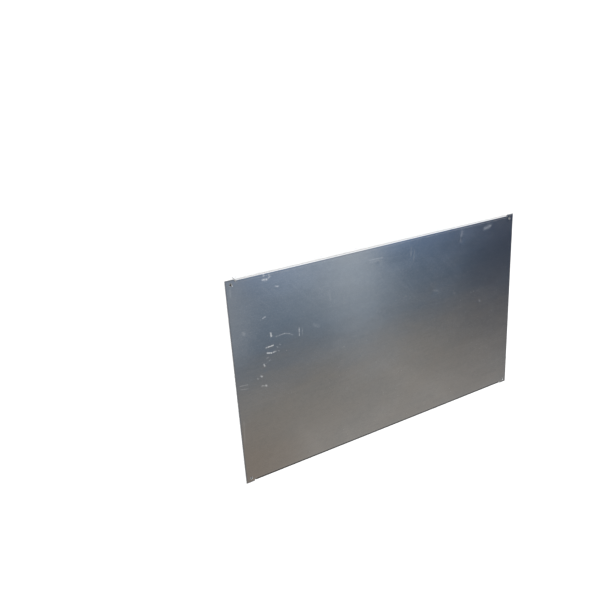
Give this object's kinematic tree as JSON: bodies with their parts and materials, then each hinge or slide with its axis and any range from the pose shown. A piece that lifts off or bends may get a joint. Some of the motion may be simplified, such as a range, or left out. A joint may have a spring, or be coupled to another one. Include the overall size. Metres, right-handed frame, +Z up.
{
  "type": "steel mounting plate",
  "caption": "Flat rectangular zinc-coated steel mounting plate, both long edges folded back square between flat corner tabs, with a fixing hole in each tab.",
  "frame": {"origin": "on the level surface that the flanges' free edges stand on, under the middle of the plate", "axes": "+X along the long edges, +Y across the plate, +Z up out of the front face"},
  "size_m": [0.95, 0.56, 0.022],
  "materials": {
    "zinc_coated_sheet": "smooth zinc coating, half mirror, with light scuffs and scratches"
  },
  "bodies": {
    "root": {"mounting_plate": "zinc_coated_sheet"}
  },
  "joints": []
}
